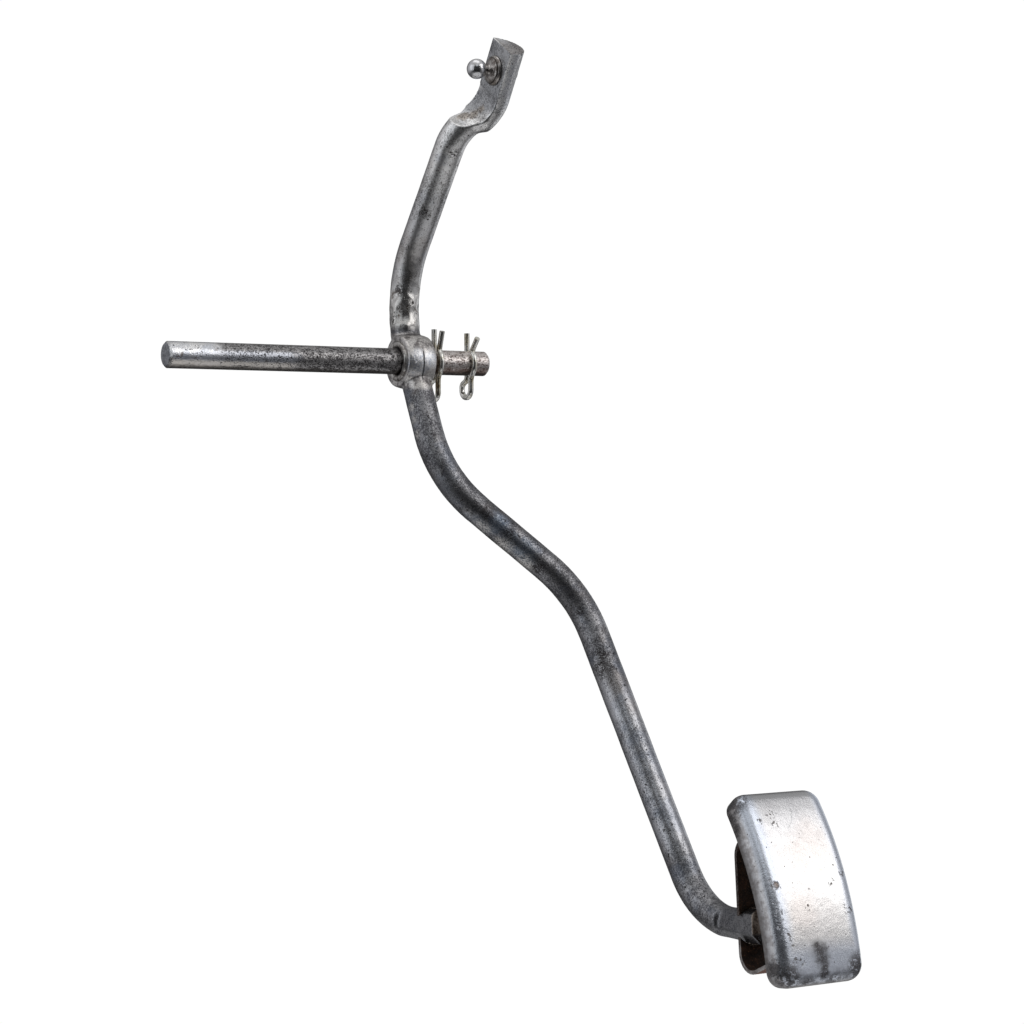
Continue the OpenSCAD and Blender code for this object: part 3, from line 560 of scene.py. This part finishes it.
def rusty_strap():
    """Rust on the broad faces of the strap, rubbed metal on its sheared edges."""
    f = Finish("rusty_strap")
    colour, cloud, grain = rust_colour(f)
    split = f.node("ShaderNodeSeparateXYZ")
    f.link(f.node("ShaderNodeTexCoord").outputs["Normal"], split.inputs[0])
    side = f.step(f.maths("ABSOLUTE", split.outputs[0]), 0.55, 0.85)
    low = f.band(2, -0.262, -0.274)
    edge = f.mix(low, f.mix(f.step(grain, 0.4, 0.6), (0.04, 0.03, 0.026), (0.16, 0.135, 0.125)),
                 f.mix(f.step(cloud, 0.35, 0.6), (0.22, 0.19, 0.18), (0.52, 0.50, 0.49)))
    below = f.step(split.outputs[2], -0.3, -0.7)
    colour = f.mix(f.less(below, 0.75), colour, f.mix(cloud, (0.20, 0.085, 0.06), (0.42, 0.24, 0.19)))
    colour = f.mix(side, colour, edge)
    return f.finish(colour, f.mix(side, 0.78, 0.4), f.mix(side, 0.15, 0.95), [(cloud, 0.00035), (grain, 0.00012)])


def weld_metal():
    """Rough weld: pale crests, brown hollows."""
    f = Finish("weld_metal")
    cloud = f.noise(420.0, 5.0, 0.7)
    grain = f.noise(1500.0, 2.0, 0.6)
    colour = f.ramp(cloud, [(0.36, (0.06, 0.045, 0.035)), (0.5, (0.20, 0.16, 0.13)), (0.64, (0.50, 0.45, 0.41))])
    return f.finish(colour, f.ramp(cloud, [(0.35, 0.7), (0.65, 0.38)]), 0.9, [(cloud, 0.0006), (grain, 0.00015)])


# Making pieces


def dress(node, material):
    """Gives a CAD node its finish."""
    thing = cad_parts[node]
    thing.data.materials.clear()
    thing.data.materials.append(material)


def add_piece(shell, name, materials, body, slot, *nodes):
    """Turns a bmesh into a piece of the object that stands for the named nodes."""
    mesh = bpy.data.meshes.new(name)
    shell.to_mesh(mesh)
    shell.free()
    thing = bpy.data.objects.new(name, mesh)
    bpy.context.scene.collection.objects.link(thing)
    for material in materials:
        mesh.materials.append(material)
    for face in mesh.polygons:
        face.use_smooth = True
    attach(thing, body)
    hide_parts(*nodes)
    return thing


def merged_copy(node):
    """A bmesh copy of a CAD node with its loose triangles joined."""
    shell = bmesh.new()
    shell.from_mesh(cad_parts[node].data)
    bmesh.ops.remove_doubles(shell, verts=shell.verts, dist=0.00001)
    return shell


def apply_modifiers(thing):
    bpy.context.view_layer.objects.active = thing
    for name in [m.name for m in thing.modifiers]:
        bpy.ops.object.modifier_apply(modifier=name)


def even_skin(thing, voxel, passes, group=""):
    """Rebuilds a piece as one even skin and relaxes it, so its joints flow together."""
    remesh = thing.modifiers.new("skin", "REMESH")
    remesh.mode, remesh.voxel_size, remesh.adaptivity = "VOXEL", voxel, 0.0
    remesh.use_smooth_shade = True
    apply_modifiers(thing)
    for share, count in passes:
        if group and share is not None:
            marks = thing.vertex_groups.new(name=group + str(count))
            for vertex in thing.data.vertices:
                weight = share(vertex.co)
                if weight > 0.0:
                    marks.add([vertex.index], weight, "REPLACE")
        relax = thing.modifiers.new("relax", "SMOOTH")
        relax.factor, relax.iterations = 0.5, count
        if group and share is not None:
            relax.vertex_group = marks.name
        apply_modifiers(thing)


def ramp_between(value, start, end):
    """0 at start, 1 at end, straight between them."""
    return max(0.0, min(1.0, (value - start) / (end - start)))


def build_lever(steel):
    """The forging as one skin: soft where the eye meets the rod, crisp at its two ends."""
    lever = add_piece(merged_copy("lever_arm"), "forged_lever", [steel], "lever", "lever_steel", "lever_arm")

    def away_from_ends(co):
        return ramp_between(co.z, 0.104, 0.096) * ramp_between(co.y, -0.150, -0.135)

    def neck(co):
        high = ramp_between(abs(co.z), 0.009, 0.0125) * ramp_between(abs(co.z), 0.021, 0.015)
        return high if abs(co.z) < 0.03 else 0.0

    def flat_start(co):
        return ramp_between(co.y, -0.158, -0.150) * ramp_between(co.y, -0.118, -0.130)

    def jog_back(co):
        side = co.x * 0.861 - co.y * 0.508
        return ramp_between(side, 0.038, 0.042) * ramp_between(co.z, 0.098, 0.103) * ramp_between(co.z, 0.117, 0.111)

    even_skin(lever, 0.5 * MM, [(None, 1), (away_from_ends, 4), (neck, 5), (flat_start, 60), (jog_back, 70)], "soft")
    hammer_marks(lever)
    return lever


def hammer_marks(lever):
    """Dents from the hammer over the neck above the eye, and a faint unevenness elsewhere."""
    shell = bmesh.new()
    shell.from_mesh(lever.data)
    shell.normal_update()
    moves = []
    for vertex in shell.verts:
        co = vertex.co
        wave = noise.noise(co * 70.0) * 0.10 + noise.noise(co * 210.0) * 0.035
        if 0.006 < co.z < 0.05:
            here = ramp_between(co.z, 0.009, 0.014) * ramp_between(co.z, 0.046, 0.024)
            wave += here * (noise.noise(co * 240.0) * 0.24 + noise.noise(co * 520.0) * 0.07)
        wave *= ramp_between(co.z, 0.122, 0.114)
        if math.hypot(co.y, co.z) < 0.0098 and -0.001 < co.x < 0.018:
            wave = 0.0
        moves.append(vertex.normal * wave * MM)
    for vertex, move in zip(shell.verts, moves):
        vertex.co += move
    shell.to_mesh(lever.data)
    shell.free()


def lathe(profile, axis, centre, steps=96, sweep=math.tau):
    """Spins a profile of (distance along the axis, radius) about an axis through centre."""
    shell = bmesh.new()
    axis = Vector(axis).normalized()
    side = axis.orthogonal().normalized()
    points = [shell.verts.new(Vector(centre) + axis * a + side * r) for a, r in profile]
    for a, b in zip(points, points[1:]):
        shell.edges.new((a, b))
    bmesh.ops.spin(shell, geom=shell.verts[:] + shell.edges[:], cent=centre, axis=axis,
                   angle=sweep, steps=steps, use_merge=sweep > 6.28, use_duplicate=False)
    bmesh.ops.remove_doubles(shell, verts=shell.verts, dist=0.000002)
    return shell


def arc_points(centre_a, centre_r, radius, start, end, count):
    """Points of a round in a lathe profile, angles in degrees from the axis direction."""
    return [(centre_a + radius * math.cos(math.radians(start + (end - start) * i / count)),
             max(0.0, centre_r + radius * math.sin(math.radians(start + (end - start) * i / count))))
            for i in range(count + 1)]


def build_ball(steel):
    """Ball, waisted neck and domed collar, turned in one piece, with its shank."""
    r = 9.525 / 2
    reach = (FLAT_X - BALL_CENTRE.x) / MM
    profile = arc_points(0.0, 0.0, r, 180.0, 34.0, 26)
    neck_start = profile[-1]
    profile += [(neck_start[0] + 0.35, 2.42), (neck_start[0] + 0.9, 2.3), (reach - 3.9, 2.3),
                (reach - 3.45, 2.45), (reach - 3.15, 2.9)]
    profile += [(reach - 3.02, 3.6), (reach - 2.78, 4.5), (reach - 2.4, 5.5), (reach - 2.0, 6.1),
                (reach - 1.95, 6.18), (reach - 1.55, 6.25), (reach - 1.35, 6.55), (reach - 0.9, 6.95),
                (reach - 0.5, 7.1), (reach - 0.25, 7.1), (reach - 0.1, 6.85), (reach + 0.05, 6.6),
                (reach + 0.05, 4.0), (reach + 10.6, 4.0), (reach + 10.95, 3.7), (reach + 11.2, 2.9), (reach + 11.3, 0.0)]
    shell = lathe([(a * MM, b * MM) for a, b in profile], (1, 0, 0), BALL_CENTRE)
    bmesh.ops.recalc_face_normals(shell, faces=shell.faces)
    return add_piece(shell, "linkage_ball", [steel], "lever", "ball_steel", "ball_stud")


def build_bush(steel):
    """Split bush: rolled rim, wide chamfer inside, slit at the upper left."""
    inner, outer, length = 6.16, 9.5, BUSH_LONG / MM
    profile = [(1.4, inner), (0.25, 7.25), (0.05, 7.5), (0.0, 7.9), (0.0, 8.9), (0.12, 9.25), (0.45, outer),
               (length - 0.45, outer), (length - 0.1, 9.3), (length, 8.9), (length, 7.0),
               (length - 0.6, inner), (1.4, inner)]
    shell = lathe([(a * MM, b * MM) for a, b in profile], (1, 0, 0), (0, 0, 0), 94, math.radians(356.8))
    bmesh.ops.holes_fill(shell, edges=[e for e in shell.edges if e.is_boundary], sides=0)
    # the slit is turned up and back, at 158 degrees round the shaft
    start = Vector((1, 0, 0)).orthogonal().normalized()
    angle = math.atan2(start.z, start.y)
    slit_at = math.atan2(math.sin(math.radians(68)), math.cos(math.radians(68)))
    bmesh.ops.rotate(shell, verts=shell.verts, cent=(0, 0, 0),
                     matrix=Matrix.Rotation(slit_at - angle + math.radians(1.6), 3, "X"))
    bmesh.ops.recalc_face_normals(shell, faces=shell.faces)
    thing = add_piece(shell, "split_bush", [steel], "lever", "bush_steel", "pivot_bush")
    soften = thing.modifiers.new("soften", "BEVEL")
    soften.width, soften.segments, soften.limit_method, soften.angle_limit = 0.08 * MM, 1, "ANGLE", math.radians(50)
    return thing


def on_crown(flat):
    """Wraps a point of the flat sheet onto the pad's crown."""
    angle = PAD_LEAN + flat.y / PAD_CROWN
    reach = PAD_CROWN + flat.z
    hub = PAD_MIDDLE + PAD_CROWN * Vector((0, math.cos(PAD_LEAN), -math.sin(PAD_LEAN)))
    return hub + Vector((flat.x, -reach * math.cos(angle), reach * math.sin(angle)))


def build_pad(face, inside):
    """The pressed pad: a flat tray with rounded corners and edge, bent onto its crown."""
    shell = bmesh.new()
    bmesh.ops.create_cube(shell, size=1.0)
    bmesh.ops.scale(shell, vec=(PAD_WIDE, PAD_LONG, PAD_DEEP), verts=shell.verts)
    bmesh.ops.translate(shell, vec=(0, 0, -PAD_DEEP / 2), verts=shell.verts)
    upright = [e for e in shell.edges if abs(e.verts[0].co.z - e.verts[1].co.z) > PAD_DEEP / 2]
    bmesh.ops.bevel(shell, geom=upright, offset=PAD_CORNER, offset_type="OFFSET", affect="EDGES",
                    segments=14, profile=0.5, material=-1)
    rim = [e for e in shell.edges if all(v.co.z > -1e-6 for v in e.verts)]
    bmesh.ops.bevel(shell, geom=rim, offset=PAD_ROUNDING, offset_type="OFFSET", affect="EDGES",
                    segments=12, profile=0.5, material=-1)
    bottom = [f for f in shell.faces if all(v.co.z < -PAD_DEEP + 1e-6 for v in f.verts)]
    bmesh.ops.delete(shell, geom=bottom, context="FACES_ONLY")
    half_w, half_l = PAD_WIDE / 2 - PAD_ROUNDING, PAD_LONG / 2 - PAD_ROUNDING
    for i in range(-22, 23):
        cut(shell, (0, i * 2.0 * MM, 0), (0, 1, 0))
    for i in range(-8, 9):
        cut(shell, (i * half_w / 8.4, 0, 0), (1, 0, 0))
    for depth in (-7.2, -8.6):
        cut(shell, (0, 0, depth * MM), (0, 0, 1))
    bmesh.ops.recalc_face_normals(shell, faces=shell.faces)
    flat_place = shell.verts.layers.float_vector.new("flat")
    for vertex in shell.verts:
        flat = vertex.co.copy()
        vertex[flat_place] = flat
        wave = noise.noise(Vector((flat.x * 45.0, flat.y * 32.0, 1.7))) * 0.16 * MM
        vertex.co = on_crown(Vector((flat.x, flat.y, flat.z + wave)))
    thing = add_piece(shell, "pad_shell", [face, inside], "lever", "pad_steel", "pad_plate")
    wall = thing.modifiers.new("wall", "SOLIDIFY")
    wall.thickness, wall.offset, wall.use_even_offset = PAD_SHEET, -1.0, True
    wall.material_offset = 1
    wall.material_offset_rim = 0
    lip = thing.modifiers.new("lip", "BEVEL")
    lip.width, lip.segments, lip.limit_method, lip.angle_limit = 0.5 * MM, 3, "ANGLE", math.radians(60)
    return thing


def cut(shell, place, normal):
    bmesh.ops.bisect_plane(shell, geom=shell.verts[:] + shell.edges[:] + shell.faces[:], dist=1e-7,
                           plane_co=place, plane_no=normal)


def build_bracket(steel):
    """The strap with its sheared edges broken."""
    shell = merged_copy("pad_bracket")
    bmesh.ops.dissolve_limit(shell, angle_limit=math.radians(1.0), verts=shell.verts, edges=shell.edges)
    thing = add_piece(shell, "strap_bracket", [steel], "lever", "bracket_steel", "pad_bracket")
    soften = thing.modifiers.new("soften", "BEVEL")
    soften.width, soften.segments, soften.limit_method, soften.angle_limit = 0.35 * MM, 3, "ANGLE", math.radians(50)
    soften.harden_normals = True
    return thing


def build_weld(metal):
    """The weld as a lumpy bead."""
    thing = add_piece(merged_copy("arm_weld"), "weld_bead", [metal], "lever", "weld_metal", "arm_weld")
    even_skin(thing, 0.3 * MM, [(None, 3)])
    shell = bmesh.new()
    shell.from_mesh(thing.data)
    shell.normal_update()
    moves = [v.normal * (noise.noise(v.co * 420.0) * 0.45 + noise.noise(v.co * 1100.0) * 0.18) * MM
             for v in shell.verts]
    for vertex, move in zip(shell.verts, moves):
        vertex.co += move
    shell.to_mesh(thing.data)
    shell.free()
    return thing


def build_object():
    build_lever(forged_steel())
    build_bush(bush_steel())
    build_ball(ball_steel())
    build_pad(pad_steel(), pad_inside())
    build_bracket(rusty_strap())
    build_weld(weld_metal())
    dress("pivot_shaft", shaft_steel())
    wire = plated_wire()
    dress("inner_clip", wire)
    dress("outer_clip", wire)


# Studio


# Brightness of the room from behind the camera (0) round to behind the object (1)
ROOM_ROUND = [(0.0, 0.035), (0.15, 0.06), (0.28, 0.34), (0.45, 0.52), (0.65, 0.46), (0.85, 0.20), (1.0, 0.12)]


def pale_floor():
    """Pale floor that fades out toward its rim."""
    f = Finish("pale_floor")
    f.finish(f.mix(f.noise(3.0), (0.84, 0.84, 0.84), (0.88, 0.88, 0.88)), 0.8, 0.0)
    spread = f.node("ShaderNodeVectorMath", operation="LENGTH")
    f.link(f.along((1, 1, 0)), spread.inputs[0])
    f.link(f.step(spread.outputs["Value"], 0.92, 0.55), f.shader.inputs["Alpha"])
    return f.material


def studio():
    """Pale floor, white backdrop, a dim room in front and four soft lights."""
    low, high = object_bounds()
    middle = (low + high) / 2
    shell = bmesh.new()
    bmesh.ops.create_circle(shell, cap_ends=True, segments=96, radius=0.95)
    mesh = bpy.data.meshes.new("floor")
    shell.to_mesh(mesh)
    shell.free()
    floor = bpy.data.objects.new("floor", mesh)
    floor.location = (middle.x, middle.y, low.z - 0.45)
    bpy.context.scene.collection.objects.link(floor)
    mesh.materials.append(pale_floor())

    world = bpy.data.worlds.new("room")
    bpy.context.scene.world = world
    world.use_nodes = True
    nodes, links = world.node_tree.nodes, world.node_tree.links
    nodes.clear()
    output = nodes.new("ShaderNodeOutputWorld")
    pick = nodes.new("ShaderNodeMixShader")
    backdrop, room = nodes.new("ShaderNodeBackground"), nodes.new("ShaderNodeBackground")
    backdrop.inputs["Color"].default_value = (1.0, 1.0, 1.0, 1.0)
    backdrop.inputs["Strength"].default_value = 1.02
    where = nodes.new("ShaderNodeTexCoord").outputs["Generated"]
    toward = nodes.new("ShaderNodeVectorMath")
    toward.operation = "DOT_PRODUCT"
    toward.inputs[1].default_value = (0.508, 0.861, 0.0)
    links.new(where, toward.inputs[0])
    round_it = nodes.new("ShaderNodeMapRange")
    round_it.inputs["From Min"].default_value = -1.0
    links.new(toward.outputs["Value"], round_it.inputs["Value"])
    shades = nodes.new("ShaderNodeValToRGB")
    marks = shades.color_ramp.elements
    while len(marks) < len(ROOM_ROUND):
        marks.new(0.5)
    for mark, (at_place, grey) in zip(marks, ROOM_ROUND):
        mark.position, mark.color = at_place, (grey, grey, grey * 1.03, 1.0)
    links.new(round_it.outputs["Result"], shades.inputs["Fac"])
    split = nodes.new("ShaderNodeSeparateXYZ")
    links.new(where, split.inputs[0])
    lift = nodes.new("ShaderNodeMapRange")
    lift.interpolation_type = "SMOOTHSTEP"
    for key, value in (("From Min", 0.25), ("From Max", 0.8), ("To Min", 0.0), ("To Max", 0.50)):
        lift.inputs[key].default_value = value
    links.new(split.outputs["Z"], lift.inputs["Value"])
    lower = nodes.new("ShaderNodeMapRange")
    lower.interpolation_type = "SMOOTHSTEP"
    for key, value in (("From Min", -0.6), ("From Max", 0.0), ("To Min", 0.25), ("To Max", 1.0)):
        lower.inputs[key].default_value = value
    links.new(split.outputs["Z"], lower.inputs["Value"])
    dim = nodes.new("ShaderNodeVectorMath")
    dim.operation = "SCALE"
    links.new(shades.outputs["Color"], dim.inputs[0])
    links.new(lower.outputs["Result"], dim.inputs["Scale"])
    most = nodes.new("ShaderNodeVectorMath")
    most.operation = "MAXIMUM"
    links.new(dim.outputs["Vector"], most.inputs[0])
    links.new(lift.outputs["Result"], most.inputs[1])
    links.new(most.outputs["Vector"], room.inputs["Color"])
    links.new(nodes.new("ShaderNodeLightPath").outputs["Is Camera Ray"], pick.inputs[0])
    links.new(room.outputs[0], pick.inputs[1])
    links.new(backdrop.outputs[0], pick.inputs[2])
    links.new(pick.outputs[0], output.inputs["Surface"])

    def at(direction, distance):
        return middle + Vector(direction).normalized() * distance

    pad_side = PAD_MIDDLE + Vector((0.44, -0.67, 0.61)) * 1.6
    soft_light("right_box", pad_side, PAD_MIDDLE, 1.15, 1.15, 1.16, (1.0, 0.985, 0.97))
    soft_light("front_fill", PAD_MIDDLE + Vector((-0.40, -0.60, 0.69)) * 1.6, PAD_MIDDLE, 0.45, 0.6, 0.40, (0.86, 0.93, 1.0))
    soft_light("left_box", at((-0.95, -0.06, 0.28), 1.5), middle, 1.3, 1.5, 0.55, (0.92, 0.96, 1.0))
    soft_light("top_box", at((-0.05, -0.02, 1.0), 1.5), middle, 1.2, 0.8, 0.7)
    soft_light("rim_box", at((0.85, 0.35, 0.0), 1.6), middle, 0.8, 1.4, 0.55, (0.95, 0.97, 1.0))
    bpy.context.scene.view_settings.view_transform = "Standard"


place_camera()
build_object()
studio()
